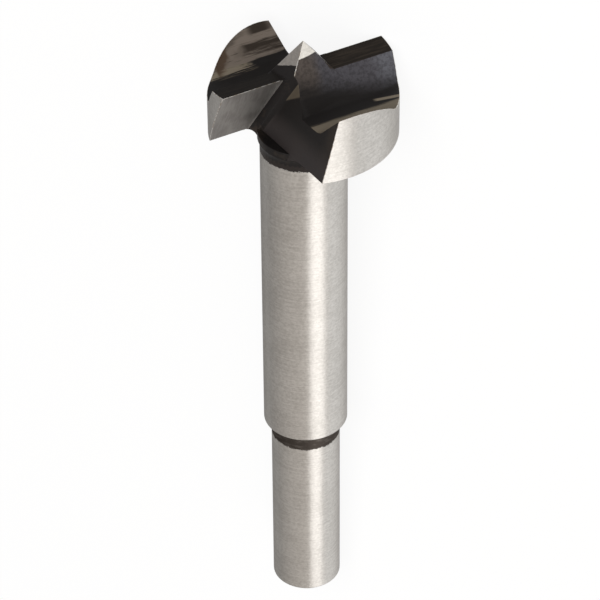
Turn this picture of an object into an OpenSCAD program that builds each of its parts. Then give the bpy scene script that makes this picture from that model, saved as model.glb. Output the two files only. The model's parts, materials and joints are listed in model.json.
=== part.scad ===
// Forstner bit: a wood-boring bit ground from one steel blank.
// The bit is drawn on its own axis, shank end at zero and point up, and is then
// laid down the way it comes to rest: on its shank end and two corners of the head.

/* [Shank and shaft] */
// Point to shank end
overall_len = 91.5; // [75:0.5:130]
// Diameter of the shank that the chuck grips
shank_d = 9.525; // [6:0.005:10.5]
// Length of the shank, up to the shoulder
shank_len = 29.2; // [20:0.5:40]
// Diameter of the shaft between shoulder and head
shaft_d = 11.6; // [10.8:0.1:13]
// Chamfer round the shank end
end_chamfer = 0.5; // [0.2:0.1:1]

/* [Head] */
// Diameter of the hole that the bit bores
head_d = 25; // [22:0.5:35]
// Underside of the head to the cutting edges
head_h = 9.7; // [8:0.1:14]
// Fillet between shaft and underside of the head
neck_fillet = 2.2; // [0.5:0.1:3]

/* [Cutting edges] */
// How far each cutting edge runs ahead of the axis
edge_lead = 1.3; // [0.5:0.1:2.5]
// Width of the land behind each cutting edge
land_w = 3; // [2:0.1:4]
// Relief angle of the land
land_relief = 10.5; // [5:0.5:15]
// Hook angle of the rake face
rake = 27; // [15:1:32]

/* [Chip gashes] */
// Gash wall to the axis, at the inner end of the cutting edge
gash_offset = 2.3; // [1.5:0.1:3]
// Lean of the gash wall, wider at the underside
gash_lean = 13.3; // [5:0.1:18]
// Angle between rake face and gash wall
gash_angle = 87; // [85:1:95]
// Radius in the corner of the gash
gash_root_r = 1.7; // [0.5:0.1:2.5]
// Stock left round the shaft where the gash runs out
gash_clear = 0.3; // [0.1:0.1:0.6]

/* [Channels behind the edges] */
// Depth of the channel below the cutting edges
channel_depth = 4.1; // [3:0.1:5.5]
// Slope of the channel wall behind the land
channel_front = 56; // [45:1:70]
// Slope of the channel wall up to the rim spur
channel_back = 48; // [35:0.1:60]
// Radius along the bottom of the channel
channel_r = 2; // [0.5:0.1:2.5]
// Rim spur below the cutting edges
spur_drop = 0.3; // [0:0.1:1]

/* [Centre point] */
// Height of the point above the cutting edges
point_h = 4.1; // [2:0.1:6]
// Slope of the two point facets along the cutting edges
facet_side = 60.8; // [50:0.1:70]
// Slope of the two point facets across the cutting edges
facet_end = 52.2; // [45:0.1:65]
// Turn of the first two facets from the line of the cutting edges
facet_turn = 9; // [0:0.5:15]

/* [Hidden] */
$fn = 128;
steel = "#9c9a97";
over = 1;

head_r = head_d / 2;
shank_r = shank_d / 2;
shaft_r = shaft_d / 2;
z_edge = overall_len - point_h;
z_under = z_edge - head_h;
z_channel = z_edge - channel_depth;

// Where the land ends and where the two channel walls meet its bottom
land_end = land_w - edge_lead;
land_start = point_h / tan(facet_end) / 2;
z_land_end = z_edge - land_w * tan(land_relief);
front_foot = land_end + (z_land_end - z_channel) / tan(channel_front);
back_foot = head_r - (channel_depth - spur_drop) / tan(channel_back);

front_bend = channel_r * tan(channel_front / 2);
back_bend = channel_r * tan(channel_back / 2);
front_mid = [front_foot + front_bend, z_channel + channel_r];
back_mid = [back_foot - back_bend, z_channel + channel_r];
gash_run = gash_root_r / tan(gash_angle / 2);

// Direction that the gash wall faces, and the angle at which it cuts the lower rim
gash_normal = [
    -sin(gash_angle) * cos(gash_lean),
    cos(gash_angle) * cos(rake) - sin(gash_angle) * sin(gash_lean) * sin(rake),
    cos(gash_angle) * sin(rake) + sin(gash_angle) * sin(gash_lean) * cos(rake)
];
gash_corner = [-gash_offset, -edge_lead, z_edge];
wall_reach = (gash_normal * gash_corner - gash_normal.z * z_under)
    / norm([gash_normal.x, gash_normal.y]);
wall_turn = atan2(gash_normal.y, gash_normal.x) + acos(wall_reach / head_r);

// Resting pose: the shank end, the outer corner of one cutting edge and the lower
// trailing corner of the other lobe all touch the table
edge_turn = asin(edge_lead / head_r);
heel_turn = wall_turn + 180;
edge_arm = z_edge - end_chamfer;
heel_arm = z_under - end_chamfer;
rest_x = heel_arm * cos(edge_turn) - edge_arm * cos(heel_turn);
rest_y = heel_arm * sin(edge_turn) - edge_arm * sin(heel_turn);
rest_turn = atan2(rest_y, rest_x)
    + acos(shank_r * (heel_arm - edge_arm) / (head_r * norm([rest_x, rest_y])));
rest_tilt = atan((head_r * cos(rest_turn - edge_turn) - shank_r) / edge_arm);
rest_height = shank_r * cos(rest_tilt) - end_chamfer * sin(rest_tilt);
mid_length = (overall_len * cos(rest_tilt)
    - (shank_r - end_chamfer) * sin(rest_tilt)) / 2;

// Turned blank: shank, shoulder, shaft, neck fillet and the drum of the head
module blank() {
    rotate_extrude()
        union() {
            polygon([
                [0, 0],
                [shank_r - end_chamfer, 0],
                [shank_r, end_chamfer],
                [shank_r, shank_len],
                [shaft_r, shank_len],
                [shaft_r, z_under],
                [head_r, z_under],
                [head_r, z_edge],
                [0, z_edge]
            ]);
            difference() {
                translate([shaft_r, z_under - neck_fillet])
                    square(neck_fillet);
                translate([shaft_r + neck_fillet, z_under - neck_fillet])
                    circle(neck_fillet);
            }
        }
}

// Stock ground away above the land of one lobe
module land_cut() {
    rise = over * tan(land_relief);
    rotate([90, 0, -90])
        translate([0, 0, land_start])
            linear_extrude(head_r)
                polygon([
                    [edge_lead + over, z_edge + rise],
                    [-land_end - over, z_land_end - rise],
                    [-land_end - over, overall_len + over],
                    [edge_lead + over, overall_len + over]
                ]);
}

// Stock ground away to make the channel of one lobe, from the land to the rim:
// the flat walls and bottom here, the two radii along the bottom as rods
module channel_cut() {
    top = z_edge + over;
    run = head_r + 3 * over;
    rotate([90, 0, 90])
        translate([0, 0, -run])
            linear_extrude(2 * run)
                polygon([
                    [front_foot - (top - z_channel) / tan(channel_front), top],
                    [front_foot - front_bend * cos(channel_front),
                        z_channel + front_bend * sin(channel_front)],
                    front_mid,
                    [front_mid.x, z_channel],
                    [back_mid.x, z_channel],
                    back_mid,
                    [back_foot + back_bend * cos(channel_back),
                        z_channel + back_bend * sin(channel_back)],
                    [back_foot + (top - z_channel) / tan(channel_back), top]
                ]);
}

module channel_rod(mid) {
    run = head_r + 4 * over;
    translate([-run, mid.x, mid.y])
        rotate([0, 90, 0])
            cylinder(h = 2 * run, r = channel_r);
}

// Pyramid left standing in the middle, its long facets running out into the channels
module centre_point() {
    foot = channel_depth + point_h + over;
    side_run = foot / tan(facet_side);
    end_run = foot / tan(facet_end);
    translate([0, 0, overall_len - foot])
        intersection() {
            rotate([90, 0, 90 + facet_turn])
                translate([0, 0, -head_r])
                    linear_extrude(head_d)
                        polygon([[-side_run, 0], [side_run, 0], [0, foot]]);
            rotate([90, 0, 0])
                translate([0, 0, -head_r])
                    linear_extrude(head_d)
                        polygon([[-end_run, 0], [end_run, 0], [0, foot]]);
        }
}

// One chip gash: rake face of one lobe and wall of the other
module gash_cut() {
    reach = head_d + overall_len;
    clear_of_shaft()
        in_gash(head_d)
            linear_extrude(2 * head_d)
                polygon([
                    [gash_run, 0],
                    [reach, 0],
                    [reach, reach],
                    reach * [cos(gash_angle), sin(gash_angle)],
                    gash_run * [cos(gash_angle), sin(gash_angle)],
                    [gash_run, gash_root_r]
                ]);
}

// The radius in the corner of one gash
module gash_rod() {
    clear_of_shaft()
        in_gash(head_d + over)
            translate([gash_run, gash_root_r, 0])
                cylinder(h = 2 * (head_d + over), r = gash_root_r);
}

module in_gash(drop) {
    translate(gash_corner)
        rotate([rake, 0, 0])
            rotate([0, -gash_lean, 180])
                translate([0, 0, -drop])
                    children();
}

// The gash stops at the shaft, under the head
module clear_of_shaft() {
    difference() {
        children();
        cylinder(h = z_under, r = shaft_r + gash_clear);
    }
}

// Both lobes are the same, half a turn apart
module twice() {
    for (turn = [0, 180]) rotate([0, 0, turn]) children();
}

// The whole bit on its axis
module upright_bit() {
    difference() {
        union() {
            difference() {
                blank();
                twice() land_cut();
                twice() channel_cut();
                twice() channel_rod(front_mid);
                twice() channel_rod(back_mid);
            }
            centre_point();
        }
        twice() gash_cut();
        twice() gash_rod();
    }
}

module bit() {
    color(steel)
        translate([-mid_length, 0, rest_height])
            rotate([0, 90 - rest_tilt, 0])
                rotate([0, 0, -rest_turn])
                    upright_bit();
}

bit();
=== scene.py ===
import json
from math import cos, radians, sin

import bmesh
import bpy
from mathutils import Euler, Matrix, Vector


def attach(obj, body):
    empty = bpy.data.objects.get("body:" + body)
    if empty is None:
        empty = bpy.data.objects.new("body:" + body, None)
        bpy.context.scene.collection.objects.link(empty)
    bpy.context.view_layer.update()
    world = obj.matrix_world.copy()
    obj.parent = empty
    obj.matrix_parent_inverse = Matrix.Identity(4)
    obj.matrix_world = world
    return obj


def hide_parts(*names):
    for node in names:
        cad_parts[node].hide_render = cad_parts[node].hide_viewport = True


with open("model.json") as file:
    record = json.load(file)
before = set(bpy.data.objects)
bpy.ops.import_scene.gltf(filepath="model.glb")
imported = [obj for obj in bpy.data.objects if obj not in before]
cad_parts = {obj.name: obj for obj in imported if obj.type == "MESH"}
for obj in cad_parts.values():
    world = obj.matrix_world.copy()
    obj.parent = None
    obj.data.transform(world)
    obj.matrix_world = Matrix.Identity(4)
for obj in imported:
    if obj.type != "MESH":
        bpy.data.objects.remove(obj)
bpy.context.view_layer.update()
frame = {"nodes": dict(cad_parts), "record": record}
scene = bpy.context.scene
scene.view_settings.view_transform = "Standard"
print("frame loaded:", sorted(frame["nodes"]))

# how the bit lies: the mount on its shank gives its axis, from the shank end to the point
lying = {
    "turn": 35.8967,  # about its own axis, degrees
    "endChamfer": 0.5,  # from the shank end to the start of the mount, millimetres
}


def layBit(spec, mount):
    along = -Vector(mount["axis"]).normalized()
    side = Vector((0, 1, 0))
    down = side.cross(along)
    turn = radians(spec["turn"])
    across = cos(turn) * down - sin(turn) * side
    behind = sin(turn) * down + cos(turn) * side
    toEnd = (spec["endChamfer"] + mount["dims"]["length_mm"] / 2) / 1000
    return Matrix((across, behind, along)).transposed(), Vector(mount["pos_m"]) - along * toEnd


bitTurn, bitStart = layBit(lying, frame["record"]["mounts"][0])
upright = bitTurn.transposed()


# shader building: a wired socket takes part in plain maths
class Wire:
    def __init__(self, finish, socket):
        self.finish = finish
        self.socket = socket

    def maths(self, operation, left, right=0.0):
        return self.finish.add("ShaderNodeMath", {"operation": operation}, {0: left, 1: right})

    def __add__(self, other):
        return self.maths("ADD", self, other)

    def __radd__(self, other):
        return self.maths("ADD", other, self)

    def __sub__(self, other):
        return self.maths("SUBTRACT", self, other)

    def __rsub__(self, other):
        return self.maths("SUBTRACT", other, self)

    def __mul__(self, other):
        return self.maths("MULTIPLY", self, other)

    def __rmul__(self, other):
        return self.maths("MULTIPLY", other, self)

    def __pow__(self, other):
        return self.maths("POWER", self, other)

    def __abs__(self):
        return self.maths("ABSOLUTE", self)


class Finish:
    def __init__(self, block):  # a material or a world
        block.use_nodes = True
        self.block = block
        self.tree = block.node_tree
        self.tree.nodes.clear()

    # any node: its type, its settings first, then socket values or wires, and which output is wanted
    def add(self, kind, settings=None, sockets=None, out=0):
        node = self.tree.nodes.new(kind)
        for key, value in (settings or {}).items():
            setattr(node, key, value)
        for key, value in (sockets or {}).items():
            if isinstance(value, Wire):
                self.tree.links.new(value.socket, node.inputs[key])
            else:
                node.inputs[key].default_value = value
        return Wire(self, node.outputs[out]) if len(node.outputs) else None

    # 0 before the limit and 1 past it, in a soft step that reaches blur to either side
    def past(self, value, limit, blur):
        return self.add("ShaderNodeMapRange", {"interpolation_type": "SMOOTHSTEP"},
                        {"Value": value, "From Min": limit - blur, "From Max": limit + blur})

    def mix(self, share, first, second):  # two colours
        first, second = ((*c, 1) if isinstance(c, tuple) else c for c in (first, second))
        return self.add("ShaderNodeMix", {"data_type": "RGBA"}, {0: share, 6: first, 7: second}, 2)

    def noise(self, place, stretch, detail=3.0, rough=0.55):  # stretch: changes per millimetre
        spread = self.add("ShaderNodeVectorMath", {"operation": "MULTIPLY"}, {0: place, 1: stretch})
        return self.add("ShaderNodeTexNoise", None,
                        {"Vector": spread, "Scale": 1.0, "Detail": detail, "Roughness": rough})

    # the bit's own millimetres: x along the cutting edges, y behind them, z up the axis
    def bitSpace(self):
        place = self.add("ShaderNodeTexCoord", None, None, "Object")
        return self.add("ShaderNodeMapping", {"vector_type": "TEXTURE"}, {
            "Vector": place, "Location": bitStart,
            "Rotation": bitTurn.to_euler("XYZ"), "Scale": (0.001, 0.001, 0.001)})

    def split(self, vector):
        return [self.add("ShaderNodeSeparateXYZ", None, {0: vector}, axis) for axis in "XYZ"]

    def bump(self, height, depth):  # depth in metres
        return self.add("ShaderNodeBump", None, {"Height": height, "Distance": depth, "Strength": 1.0})

    def surface(self, sockets):
        shader = self.add("ShaderNodeBsdfPrincipled", None, sockets)
        self.add("ShaderNodeOutputMaterial", None, {"Surface": shader})
        return self.block


def newFinish(name):
    return Finish(bpy.data.materials.new(name))


# bright steel ground round the axis, with black scale left on the neck and in a ring below the shoulder
groundLook = {
    "bright": (0.67, 0.65, 0.62), "dull": (0.49, 0.472, 0.445),
    "scale": (0.020, 0.016, 0.015), "scaleWorn": (0.120, 0.108, 0.098),
    "ring": (0.068, 0.058, 0.051), "ringWorn": (0.115, 0.102, 0.092),
    "neckFrom": 74.8, "neckWithin": 9.2,  # height up the axis and radius, millimetres
    "ringFrom": 26.55, "ringTo": 29.125, "ringWithin": 5.0,
    "ragged": 1.1,  # how far the black edges wander, millimetres
    "rough": 0.22, "shine": 0.2,
    "edge": (0.5, 0.49, 0.48, 1),  # how much is left of the shine at a glancing angle
}


def groundSteel(spec):
    look = newFinish("groundSteel")
    place = look.bitSpace()
    x, y, z = look.split(place)
    radius = (x * x + y * y) ** 0.5
    rings = look.noise(place, (0.16, 0.16, 6.0), 4.0, 0.6)  # grinding marks run round
    mottle = look.noise(place, (2.4, 2.4, 3.2), 4.0, 0.65)
    marks = rings * 0.4 + mottle * 0.6
    clouds = look.noise(place, (0.22, 0.22, 0.16), 2.0)
    pits = look.past(look.noise(place, (3.6, 3.6, 3.6), 2.0), 0.68, 0.04)
    shiny = look.past(marks * 0.8 + clouds * 0.2, 0.5, 0.14) * (1 - pits * 0.6)
    wander = (look.noise(place, (1.3, 1.3, 1.3), 5.0, 0.7) - 0.5) * spec["ragged"]
    neck = look.past(z + wander, spec["neckFrom"], 0.08) * (1 - look.past(radius, spec["neckWithin"], 0.2))
    above = look.past(z + wander, spec["ringFrom"], 0.08)
    below = 1 - look.past(z + wander * 0.8, spec["ringTo"], 0.125)
    ring = above * below * (1 - look.past(radius, spec["ringWithin"], 0.05))
    black = neck + ring
    worn = look.past(look.noise(place, (0.8, 0.8, 2.0), 4.0), 0.55, 0.13)  # scale rubbed thin
    steel = look.mix(shiny, spec["dull"], spec["bright"])
    neckScale = look.mix(mottle * 0.15, spec["scale"], spec["scaleWorn"])
    ringScale = look.mix(worn, spec["ring"], spec["ringWorn"])
    return look.surface({
        "Base Color": look.mix(black, steel, look.mix(ring, neckScale, ringScale)),
        "Metallic": 1 - neck * 0.7, "Specular Tint": spec["edge"], "Specular IOR Level": spec["shine"],
        "Roughness": spec["rough"] + marks * 0.18 + black * 0.14,
        "Normal": look.bump(marks, 0.00003)})


# black hardening scale on the gash root, the neck and the underside
scaleLook = {
    "black": (0.011, 0.0095, 0.0092), "brown": (0.036, 0.027, 0.021),
    "rough": 0.45, "shine": 0.2,
}


def hardeningScale(spec):
    look = newFinish("hardeningScale")
    place = look.bitSpace()
    grain = look.noise(place, (3.0, 3.0, 3.0), 4.0, 0.6)
    drift = look.noise(place, (0.28, 0.28, 0.28), 3.0)
    streaks = look.noise(place, (2.2, 0.25, 1.2), 3.0)
    brown = look.past(drift * 0.6 + streaks * 0.4, 0.58, 0.08) * 0.7
    return look.surface({
        "Base Color": look.mix(brown, spec["black"], spec["brown"]),
        "Metallic": 0.25, "Specular IOR Level": spec["shine"],
        "Roughness": spec["rough"] + grain * 0.16,
        "Normal": look.bump(grain, 0.000012)})


# gash wall: scale too, ashen low down and brown at the rim, with a tan heat tint under the point
gashLook = {
    "ash": (0.042, 0.036, 0.038), "tan": (0.092, 0.075, 0.054),
    "ashTo": 80.75, "rimAbove": 81.25,  # heights up the axis, millimetres
    "rimFrom": 10.6, "tintTo": 3.7,  # how far out from the axis
    "tintFrom": 83.2, "tintSlope": 0.69,  # height of the tint's edge at the axis, and its rise outwards
}


def gashWall(spec, scale):
    look = newFinish("gashWall")
    place = look.bitSpace()
    y, z = look.split(place)[1:]
    grain = look.noise(place, (3.0, 3.0, 3.0), 4.0, 0.6)
    drift = look.noise(place, (0.3, 0.3, 0.3), 3.0)
    out = abs(y)
    tintHeight = z - out * spec["tintSlope"] + (drift - 0.5) * 0.5
    tint = look.past(tintHeight, spec["tintFrom"], 0.15) * (1 - look.past(out, spec["tintTo"], 0.3))
    rim = look.past(out + (drift - 0.5) * 2.2, spec["rimFrom"], 1.0) * look.past(z, spec["rimAbove"], 2.25)
    low = 1 - look.past(z, spec["ashTo"], 1.75)
    brown = drift * low * 0.9 + rim * 0.5 + (grain - 0.5) * 0.5
    colour = look.mix(brown, scale["black"], scale["brown"])
    colour = look.mix(low * 0.45, colour, spec["ash"])
    return look.surface({
        "Base Color": look.mix(tint * 0.9, colour, spec["tan"]),
        "Metallic": 0.25, "Specular IOR Level": scale["shine"],
        "Roughness": scale["rough"] + grain * 0.14,
        "Normal": look.bump(grain, 0.00001)})


# centre point: ground bright at the top, scale left below; its one ground steel is painted lighter on the
# long facets and darker on the short ones, painted light and shade
pointLook = {
    # painted light and shade: the same ground steel, lighter on the long facets and darker on the short ones
    "side": (0.74, 0.71, 0.655), "end": (0.54, 0.505, 0.47),  # the long facets and the short ones
    "marks": 0.84,  # how bright the grinding marks are beside the rest
    "sideTo": 89.72, "endTo": 88.45,  # how far down they are ground, millimetres up the axis
    "endSlope": 0.44,  # how steeply that limit crosses a short facet
    "ridgeTo": 87.1,  # how far down two of the ridges are worn bright
    "rough": 0.3,
}


# the point's ground steel with its marks, in the painted lighter or darker copy of its colour that it is
# given
def pointSteel(look, place, colour, spec):
    marks = look.noise(place, (2.5, 2.5, 5.0), 4.0, 0.6)
    return look.mix(look.past(marks, 0.5, 0.12), tuple(c * spec["marks"] for c in colour), colour)


# land behind each cutting edge, and the short facets of the point: dark and dull
landLook = {
    "dark": (0.010, 0.0083, 0.0075), "brown": (0.034, 0.027, 0.021),
    "foot": (0.022, 0.020, 0.020),  # the short facets below their ground tops
    "landPast": 3.45, "landAbove": 86.825,  # where the land starts, out from and up the axis, millimetres
    "rough": 0.55, "shine": 0.04,
}


def landScale(spec, point):
    look = newFinish("landScale")
    place = look.bitSpace()
    x, y, z = look.split(place)
    streaks = look.noise(place, (0.22, 3.2, 1.0), 4.0, 0.6)
    drift = look.noise(place, (0.35, 0.35, 0.35), 3.0)
    ahead = look.past(x, 0.0, 0.01)  # 1 on one lobe, 0 on the other
    slope = y * (ahead * 2 - 1) * point["endSlope"]
    ground = look.past(z - slope + (drift - 0.5) * 0.5, point["endTo"], 0.05)
    brown = look.past(streaks, 0.54, 0.12) * (0.3 + ahead * 0.4) + ahead * 0.3
    onLand = look.past(abs(x), spec["landPast"], 0.25) * look.past(z, spec["landAbove"], 0.025)
    colour = look.mix(onLand, spec["foot"], look.mix(brown, spec["dark"], spec["brown"]))
    return look.surface({
        # the short facets' ground tops take the darker copy of the point's steel, painted shade
        "Base Color": look.mix(ground, colour, pointSteel(look, place, point["end"], point)),
        "Metallic": 0.3 + ground * 0.7, "Specular IOR Level": spec["shine"],
        "Roughness": spec["rough"] + streaks * 0.1 - ground * (spec["rough"] - point["rough"]),
        "Normal": look.bump(streaks, 0.000008)})


# channel behind the land, and the long facets of the point that run into it:
# blue-grey wall, black along the bottom, brown and tan up to the rim
channelLook = {
    "blue": (0.100, 0.101, 0.115), "slate": (0.062, 0.059, 0.0675), "greyBrown": (0.074, 0.060, 0.052),
    "black": (0.0065, 0.005, 0.0045), "brown": (0.155, 0.128, 0.106), "deepBrown": (0.026, 0.0185, 0.013),
    "rust": (0.052, 0.029, 0.015), "tan": (0.222, 0.187, 0.138),
    # how far out along the channel each starts or ends, millimetres from the axis
    "slateFrom": 0.75, "blueFrom": 9.5, "stripFrom": 2.75, "streakTo": 3.0, "dashFrom": 7.25,
    "rustSpan": (5.4, 7.7), "cornerWithin": 1.5,
    # how far across the channel, or as a radius
    "blackPast": 2.9, "blackLag": 0.8,  # the black starts this much further across at the rim
    "crestPast": 7.175, "stripPast": 8.0, "brownPast": 9.5, "cornerPast": 11.55,
    "streakAt": 10.5, "streakHalf": 0.475,
    "dashAt": 4.6, "dashSlope": 0.19, "dashHalf": 0.28,
    "rustRadius": 11.4, "rimRadius": 12.25,
    # patch of the land's scale on the facet: a slope and a limit for its side and its top, and its foot
    "patchSide": (0.484, 45.14), "patchTop": (0.33, 88.25), "patchFoot": 86.88,
    "rough": 0.48, "shine": 0.2,
}


def channelScale(spec, point):
    look = newFinish("channelScale")
    place = look.bitSpace()
    x, y, z = look.split(place)
    streaks = look.noise(place, (0.16, 1.0, 1.0), 4.0, 0.55)  # milling streaks run along the channel
    fine = look.noise(place, (0.3, 5.0, 4.0), 4.0, 0.6)
    drift = look.noise(place, (0.35, 0.35, 0.35), 3.0)
    soot = 1 - look.past(look.noise(place, (2.2, 2.2, 2.2), 4.0, 0.6), 0.48, 0.12)
    radius = (x * x + y * y) ** 0.5
    across = abs(y)
    lobe = look.past(y, 0.0, 0.5)  # 1 on the lobe behind, 0 on the one in front
    outward = x * (1 - lobe * 2)
    wander = outward + (drift - 0.5) * 6
    ragged = across + (streaks - 0.5) * 1.6 + (fine - 0.5) * 1.2

    # wall: grey-brown at the point, slate, then blue at the rim, sooty all over
    wall = look.mix(look.past(outward + (drift - 0.5) * 2, spec["slateFrom"], 1.25),
                    spec["greyBrown"], spec["slate"])
    wall = look.mix(look.past(outward + (drift - 0.5) * 3, spec["blueFrom"], 1.5), wall, spec["blue"])
    wall = look.mix(soot * 0.4, wall, spec["black"])

    # bottom: black, with tan strips on both lobes and a tan dash on the one in front
    lag = look.past(outward, 5.25, 3.75) * spec["blackLag"]
    bottom = look.past(across + (streaks - 0.5) * 1.5 - lag, spec["blackPast"], 1.05)
    patchy = look.past(streaks * 0.5 + fine * 0.5, 0.47, 0.05)
    strip = look.past(wander, spec["stripFrom"], 0.75) * look.past(across, spec["stripPast"], 0.3) * patchy
    crest = look.past(across + (fine - 0.5) * 0.8, spec["crestPast"], 0.225) * 0.75
    offDash = look.past(abs(across - outward * spec["dashSlope"] - spec["dashAt"]), spec["dashHalf"], 0.08)
    dash = look.past(outward, spec["dashFrom"], 0.35) * (1 - offDash)
    tan = lobe * strip + (1 - lobe) * (crest + dash)
    colour = look.mix(bottom, wall, spec["black"])
    colour = look.mix(tan * 0.8, colour, spec["tan"])

    # back, up to the rim: brown with dark streaks, and rust on the lobe behind
    offStreak = look.past(abs(ragged - spec["streakAt"]), spec["streakHalf"], 0.275)
    streak = (1 - offStreak) * (1 - look.past(wander, spec["streakTo"], 1.5))
    corner = look.past(ragged, spec["cornerPast"], 0.25) * (1 - look.past(abs(x), spec["cornerWithin"], 0.7))
    rim = look.past(radius + (streaks - 0.5) * 3, spec["rimRadius"], 0.35) * 0.55
    clean = look.past(streaks * 0.4 + fine * 0.6, 0.375, 0.065)
    dark = 1 - (1 - streak) * (1 - corner) * (1 - rim) * clean
    back = look.mix(dark, spec["brown"], spec["deepBrown"])
    colour = look.mix(look.past(ragged, spec["brownPast"], 0.3), colour, back)
    rustFrom, rustTo = spec["rustSpan"]
    rust = lobe * look.past(wander, rustFrom, 0.6) * (1 - look.past(outward, rustTo, 0.2))
    rust = rust * look.past(radius + (fine - 0.5) * 1.5, spec["rustRadius"], 0.4)
    colour = look.mix(rust * 0.85, colour, spec["rust"])

    # long facets of the point: the land's scale reaches round onto them, and their tops are ground bright
    slope, limit = spec["patchSide"]
    patch = look.past(outward + z * slope, limit, 0.1) * look.past(z, spec["patchFoot"], 0.02)
    slope, limit = spec["patchTop"]
    patch = patch * look.past(z + outward * slope, limit, 0.05)
    colour = look.mix(patch, colour, spec["deepBrown"])
    ground = look.past(z + (drift - 0.5) * 0.5, point["sideTo"], 0.05)
    return look.surface({
        # the long facets' ground tops take the lighter copy of the point's steel, painted light
        "Base Color": look.mix(ground, colour, pointSteel(look, place, point["side"], point)),
        "Metallic": 0.15 + ground * 0.85, "Specular IOR Level": spec["shine"],
        "Roughness": spec["rough"] + fine * 0.14 - ground * 0.16,
        "Normal": look.bump(fine, 0.000008)})


# rake face: ground across, its steel painted darker than the shank's as painted shade
shadedRakeLook = {"bright": (0.34, 0.325, 0.31), "dull": (0.24, 0.225, 0.215), "rough": 0.36}


def rakeSteel(spec):
    look = newFinish("rakeSteel")
    place = look.bitSpace()
    marks = look.noise(place, (4.5, 0.5, 0.5), 5.0, 0.6)
    clouds = look.noise(place, (0.3, 0.3, 0.3), 3.0)
    shiny = look.past(marks * 0.5 + clouds * 0.5, 0.5, 0.12)
    return look.surface({
        # darker base colour than the ground steel: painted shade
        "Base Color": look.mix(shiny, spec["dull"], spec["bright"]),
        "Metallic": 0.85, "Roughness": spec["rough"] + marks * 0.15,
        "Normal": look.bump(marks, 0.00001)})


# fresh steel along the corners of ground faces, dull in the nicks
cornerLook = {"bright": (0.76, 0.74, 0.71), "dull": (0.38, 0.325, 0.26), "rough": 0.26}


def cornerSteel(spec):
    look = newFinish("cornerSteel")
    nicks = look.noise(look.bitSpace(), (2.4, 2.4, 2.4), 3.0)
    return look.surface({
        "Base Color": look.mix(look.past(nicks, 0.49, 0.09), spec["dull"], spec["bright"]),
        "Metallic": 1.0, "Roughness": spec["rough"] + nicks * 0.12})


finishes = {
    "ground": groundSteel(groundLook),
    "scale": hardeningScale(scaleLook),
    "gash": gashWall(gashLook, scaleLook),
    "land": landScale(landLook, pointLook),
    "channel": channelScale(channelLook, pointLook),
    "rake": rakeSteel(shadedRakeLook),
    "corner": cornerSteel(cornerLook),
}
finishes["pointSide"] = finishes["channel"]
finishes["pointEnd"] = finishes["land"]
zones = list(finishes)
print("finishes made:", len(set(finishes.values())))

# the bit itself: the solid's own shape with its sharp corners slightly broken
bitShape = {
    "weld": 0.000035,  # joins the solid's loose triangles, metres
    "flat": 0.4,  # triangles within this many degrees become one face
    "sharp": 22.0,  # corners sharper than this are broken, degrees
    "corner": 0.00006,  # how far a corner is broken, metres
    "short": 0.0001,  # edges shorter than this stay sharp
    # where the finishes change: heights up the axis and radii in millimetres, slopes in degrees
    "neckTo": 75.6, "underTo": 77.75, "pointFrom": 83.4, "landFrom": 86.5,
    "drumFrom": 10.0, "pointWithin": 7.0,
    "rake": 27.0, "pointEnd": 52.2,
}


# which finish a face of the bit takes, from where it is and which way it looks:
# the plain numbers say how squarely it has to look that way
def zoneOf(centre, normal, spec):
    x, y, z = centre
    nx, ny, nz = normal
    radius = (x * x + y * y) ** 0.5
    outward = (nx * x + ny * y) / max(radius, 1e-6)
    rake = radians(spec["rake"])
    if z < spec["neckTo"]:
        return "ground"
    if radius > spec["drumFrom"] and outward > 0.97 and abs(nz) < 0.06:  # side of the drum
        return "ground"
    if z < spec["underTo"]:
        return "scale"
    if abs(ny) * cos(rake) - nz * sin(rake) > 0.95:  # the flat face and the start of the root
        return "rake"
    if abs(nx) < 0.02 and nz > 0.97 and z > spec["landFrom"]:
        return "land"
    if abs(ny) < 0.03 and abs(nz - cos(radians(spec["pointEnd"]))) < 0.03 and z > spec["pointFrom"]:
        return "pointEnd"
    if 0.08 < abs(nx) < 0.2 and 0.4 < nz < 0.6 and radius < spec["pointWithin"]:
        return "pointSide"
    if abs(nx) < 0.02 and nz > 0.5:
        return "channel"
    if abs(nx) > 0.95:
        return "gash"
    return "scale"


# whether a broken corner shows fresh steel, from the finishes that it lies between
def freshCorner(beside, centre):
    x, y, z = centre
    if {"pointSide", "pointEnd"} <= beside:
        return z > pointLook["ridgeTo" if x * y > 0 else "sideTo"]
    if "rake" in beside:
        return bool(beside & {"land", "ground"})
    return "ground" in beside and len(beside) > 1


def middleInBit(face):  # in the bit's own millimetres
    return upright @ (face.calc_center_median() - bitStart) * 1000


# the solid's loose triangles become whole faces, each with its finish
def joinFaces(mesh, spec):
    bmesh.ops.remove_doubles(mesh, verts=mesh.verts, dist=spec["weld"])
    bmesh.ops.dissolve_degenerate(mesh, edges=mesh.edges, dist=spec["weld"])
    bmesh.ops.dissolve_limit(mesh, angle_limit=radians(spec["flat"]), verts=mesh.verts, edges=mesh.edges)
    mesh.normal_update()
    print("open edges:", sum(not edge.is_manifold for edge in mesh.edges))
    for face in mesh.faces:
        zone = zoneOf(middleInBit(face), upright @ face.normal, spec)
        face.material_index = zones.index(zone)


# whether the faces beside an edge leave room to break its corner
def roomToBreak(edge, spec):
    width = min(2 * face.calc_area() / face.calc_perimeter() for face in edge.link_faces)
    return edge.is_convex and width > spec["corner"] and edge.calc_length() > spec["short"]


def breakCorners(mesh, spec):
    corners = [edge for edge in mesh.edges if edge.calc_face_angle(0) > radians(spec["sharp"])]
    breakable = [edge for edge in corners if roomToBreak(edge, spec)]
    for edge in corners:
        edge.smooth = edge in breakable
    made = bmesh.ops.bevel(mesh, geom=breakable, offset=spec["corner"], offset_type="OFFSET",
                           segments=2, profile=0.5, affect="EDGES", clamp_overlap=False,
                           material=-1, loop_slide=True)
    return set(made["faces"])


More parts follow.
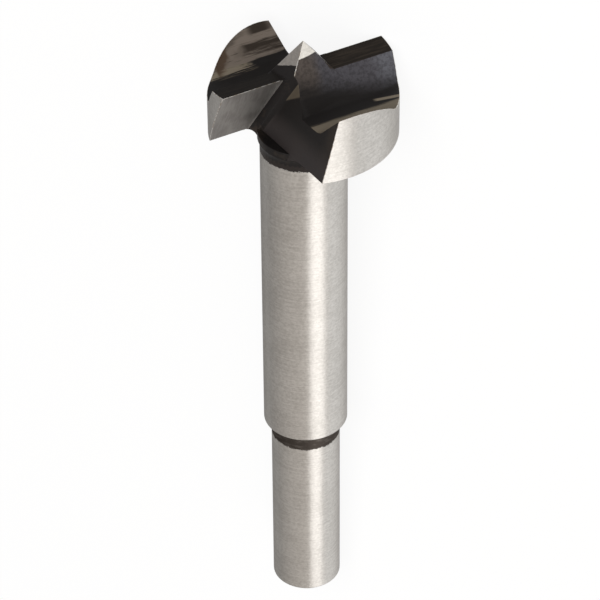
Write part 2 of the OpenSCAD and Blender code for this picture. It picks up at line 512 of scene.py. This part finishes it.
# the broken corners' own finish: fresh steel, or that of the long facets along the ridges of the point
def wearCorners(broken):
    around = {face: {other for edge in face.edges for other in edge.link_faces} for face in broken}
    touched = {face: {zones[other.material_index] for other in around[face] - broken} for face in broken}
    worn = {}
    for face in broken:
        beside = set().union(*(touched[other] for other in around[face] & broken))
        if freshCorner(beside, middleInBit(face)):
            worn[face] = "corner"
        elif {"pointSide", "pointEnd"} <= beside:
            worn[face] = "pointSide"
    for face, zone in worn.items():
        face.material_index = zones.index(zone)


def makeBit(spec):
    mesh = bmesh.new()
    mesh.from_mesh(frame["nodes"]["bit"].data)
    joinFaces(mesh, spec)
    wearCorners(breakCorners(mesh, spec))
    for face in mesh.faces:
        face.smooth = True
    rawData = bpy.data.meshes.new("rawBit")
    mesh.to_mesh(rawData)
    mesh.free()
    for zone in zones:
        rawData.materials.append(finishes[zone])
    piece = bpy.data.objects.new("forstnerBit", rawData)
    scene.collection.objects.link(piece)
    weigh = piece.modifiers.new("flatFaces", "WEIGHTED_NORMAL")
    weigh.weight = 100
    weigh.keep_sharp = True
    bpy.context.view_layer.update()
    evaluated = piece.evaluated_get(bpy.context.evaluated_depsgraph_get())
    finished = bpy.data.meshes.new_from_object(evaluated)
    finished.name = "forstnerBit"
    piece.modifiers.clear()
    piece.data = finished
    bpy.data.meshes.remove(rawData)
    return piece


bit = makeBit(bitShape)
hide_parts("bit")
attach(bit, "root")
print("bit made:", len(bit.data.polygons), "faces")

# camera: down on the head end, rolled so that the bit stands upright in the picture
view = {
    "middle": (0.00365, 0.00059, 0.00843),  # what it looks at, metres
    "distance": 0.4621,
    "turn": 59.46, "rise": 48.93, "roll": -140.38,  # degrees
    "lens": 204.38, "sensor": 36.0,  # millimetres
    "nearest": 0.01,  # nothing closer is drawn, metres
}


def makeCamera(spec):
    camera = bpy.data.objects.new("camera", bpy.data.cameras.new("camera"))
    aimed = Euler((radians(90 - spec["rise"]), 0, radians(spec["turn"]))).to_matrix().to_4x4()
    rolled = Matrix.Rotation(radians(spec["roll"]), 4, "Z")
    away = Matrix.Translation((0, 0, spec["distance"]))
    camera.matrix_world = Matrix.Translation(spec["middle"]) @ aimed @ rolled @ away
    camera.data.lens = spec["lens"]
    camera.data.sensor_width = spec["sensor"]
    camera.data.clip_start = spec["nearest"]
    scene.collection.objects.link(camera)
    scene.camera = camera


makeCamera(view)
print("camera set")

# studio: pale floor, soft boxes and a warm grey room, brighter on one side
studio = {
    "floorSize": 3.0,  # from its middle to its edge, metres
    "floorColour": (0.86, 0.86, 0.86),
    "floorGlow": 0.88,  # share of plain white that the camera sees in the floor
    "floorShine": 0.88,  # share of the glowing white and the painted-shade grey that the steel mirrors in it
    "mirroredWhiteAndShade": ((1.0, 1.0, 1.0), (0.5, 0.5, 0.5)),  # glowing white right of the bit, and grey left of it as painted shade
    "shadeLine": 0.005,  # where the white and the painted shade meet, metres
    "room": ((0.390, 0.380, 0.370), (0.63, 0.590, 0.553)),
    "roomSide": (-0.659, -0.453, 0.600),  # where the room is brightest
    "roomFrom": 0.1,  # how squarely a wall faces that side before it brightens
    "boxes": {  # metres and watts
        "band": {"place": (-0.439, -0.474, 0.257), "aim": (0.037, 0.847, -0.530),
                 "along": (0.9976, 0, 0.0697), "sizes": (0.5, 0.41), "watts": 0.92},
        "top": {"place": (0.30, -0.12, 0.85), "aim": (-0.33, 0.13, -0.93),
                "along": (1, 0, 0), "sizes": (0.8, 0.8), "watts": 6.8},
        "side": {"place": (0.17, -0.70, 0.08), "aim": (-0.18, 0.98, -0.08),
                 "along": (1, 0, 0), "sizes": (0.4, 0.2), "watts": 0.40},
    },
}


def makeBox(name, place, aim, along, sizes, watts):
    lamp = bpy.data.lights.new(name, "AREA")
    lamp.shape = "RECTANGLE"
    lamp.energy = watts
    lamp.size, lamp.size_y = sizes
    back = -Vector(aim).normalized()
    rise = back.cross(Vector(along)).normalized()
    turned = Matrix((rise.cross(back), rise, back)).transposed().to_4x4()
    box = bpy.data.objects.new(name, lamp)
    box.matrix_world = Matrix.Translation(place) @ turned
    scene.collection.objects.link(box)


# the camera sees the floor near white, with its shadow, and the steel mirrors it as glowing white right of
# the bit and as grey left of it, a painted shade
def floorFinish(spec):
    look = newFinish("paleFloor")
    seen = look.add("ShaderNodeLightPath", None, None, "Is Camera Ray")
    mirrored = look.add("ShaderNodeLightPath", None, None, "Is Glossy Ray")
    y = look.split(look.add("ShaderNodeTexCoord", None, None, "Object"))[1]
    # glossy rays left of the bit get the grey: painted shade
    mirroredWhiteOrShade = look.mix(mirrored * look.past(y, spec["shadeLine"], 0.015), *spec["mirroredWhiteAndShade"])
    lit = look.add("ShaderNodeBsdfDiffuse", None, {"Color": (*spec["floorColour"], 1)})
    plain = look.add("ShaderNodeEmission", None, {"Color": mirroredWhiteOrShade, "Strength": 1.0})
    share = seen * spec["floorGlow"] + mirrored * spec["floorShine"]
    both = look.add("ShaderNodeMixShader", None, {0: share, 1: lit, 2: plain})
    look.add("ShaderNodeOutputMaterial", None, {"Surface": both})
    return look.block


def makeFloor(spec):
    mesh = bmesh.new()
    bmesh.ops.create_grid(mesh, x_segments=1, y_segments=1, size=spec["floorSize"])
    data = bpy.data.meshes.new("floor")
    mesh.to_mesh(data)
    mesh.free()
    data.materials.append(floorFinish(spec))
    floor = bpy.data.objects.new("floor", data)
    scene.collection.objects.link(floor)


# the room lights the bit, and the camera sees plain white past the floor
def makeRoom(spec):
    scene.world = bpy.data.worlds.new("room")
    look = Finish(scene.world)
    way = look.add("ShaderNodeTexCoord", None, None, "Generated")
    facing = look.add("ShaderNodeVectorMath", {"operation": "DOT_PRODUCT"},
                      {0: way, 1: spec["roomSide"]}, "Value")
    share = look.add("ShaderNodeMapRange", None,
                     {"Value": facing, "From Min": spec["roomFrom"], "From Max": 1.0})
    seen = look.add("ShaderNodeLightPath", None, None, "Is Camera Ray")
    colour = look.mix(seen, look.mix(share, *spec["room"]), (1, 1, 1))
    air = look.add("ShaderNodeBackground", None, {"Color": colour})
    look.add("ShaderNodeOutputWorld", None, {"Surface": air})


makeFloor(studio)
makeRoom(studio)
for name, box in studio["boxes"].items():
    makeBox(name, **box)
print("studio set")
